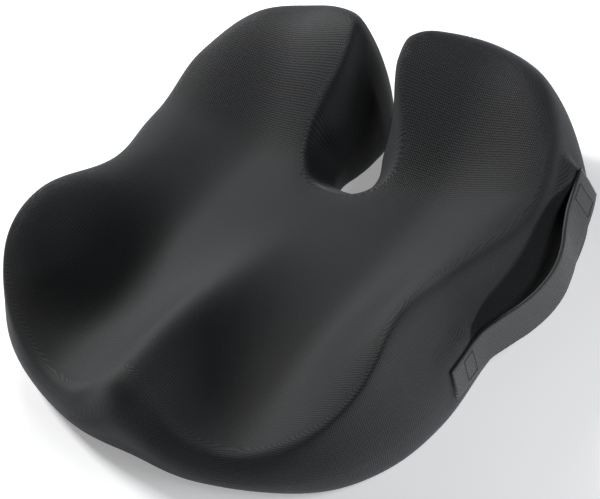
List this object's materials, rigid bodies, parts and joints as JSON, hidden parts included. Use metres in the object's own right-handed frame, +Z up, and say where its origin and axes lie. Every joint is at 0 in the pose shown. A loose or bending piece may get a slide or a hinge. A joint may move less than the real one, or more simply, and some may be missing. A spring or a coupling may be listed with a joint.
{
  "type": "seat cushion",
  "caption": "Contoured memory-foam seat cushion with raised rear lobes, a pommel, a tailbone cut-out, a zipped knit cover and a side carry strap.",
  "frame": {"origin": "centre of the whole object's bounding box in plan, on the plane it rests on (undersides of the grip dots, z = 0)", "axes": "+X to the sitter's right, towards the carry strap; +Y from the front lip towards the rear lobes; +Z up"},
  "size_m": [0.435, 0.4293, 0.1318],
  "materials": {
    "foam": "open-cell polyurethane memory foam",
    "cover_knit": "fine dotted charcoal knit, soft sheen",
    "base_fabric": "plain woven polyester",
    "grip_dots": "moulded silicone",
    "zip_tape": "herringbone tape",
    "zip_chain": "nylon coil",
    "zip_metal": "black enamel on zinc",
    "webbing": "ribbed grosgrain webbing",
    "thread": "twisted polyester thread"
  },
  "bodies": {
    "root": {"foam_core": "foam", "cover_top": "cover_knit", "cutout_gusset": "cover_knit", "bottom_front_panel": "base_fabric", "bottom_rear_panel": "base_fabric", "grip_dots_front": "grip_dots", "grip_dots_rear": "grip_dots", "zip_tape_front": "zip_tape", "zip_tape_rear": "zip_tape", "zip_coil_front": "zip_chain", "zip_coil_rear": "zip_chain", "zip_stops": "zip_metal", "zip_end_tab_left": "zip_tape", "zip_end_tab_right": "zip_tape", "handle_end_front": "webbing", "handle_end_rear": "webbing", "handle_stitch_front": "thread", "handle_stitch_rear": "thread"},
    "handle": {"handle_grip": "webbing"},
    "slider": {"zip_slider": "zip_metal"},
    "pull": {"zip_pull": "zip_metal"}
  },
  "joints": [
    {"name": "handle_pull", "type": "slide", "parent": "root", "child": "handle", "axis": [1, 0, 0], "range_m": [0, 0.012]},
    {"name": "zip_slide", "type": "slide", "parent": "root", "child": "slider", "axis": [1, 0, 0], "range_m": [-0.246, 0]},
    {"name": "zip_pull_swing", "type": "hinge", "parent": "slider", "child": "pull", "pos_m": [0.1145, -0.0649, 0.0033], "axis": [0, -1, 0], "range_deg": [0, 170]}
  ]
}
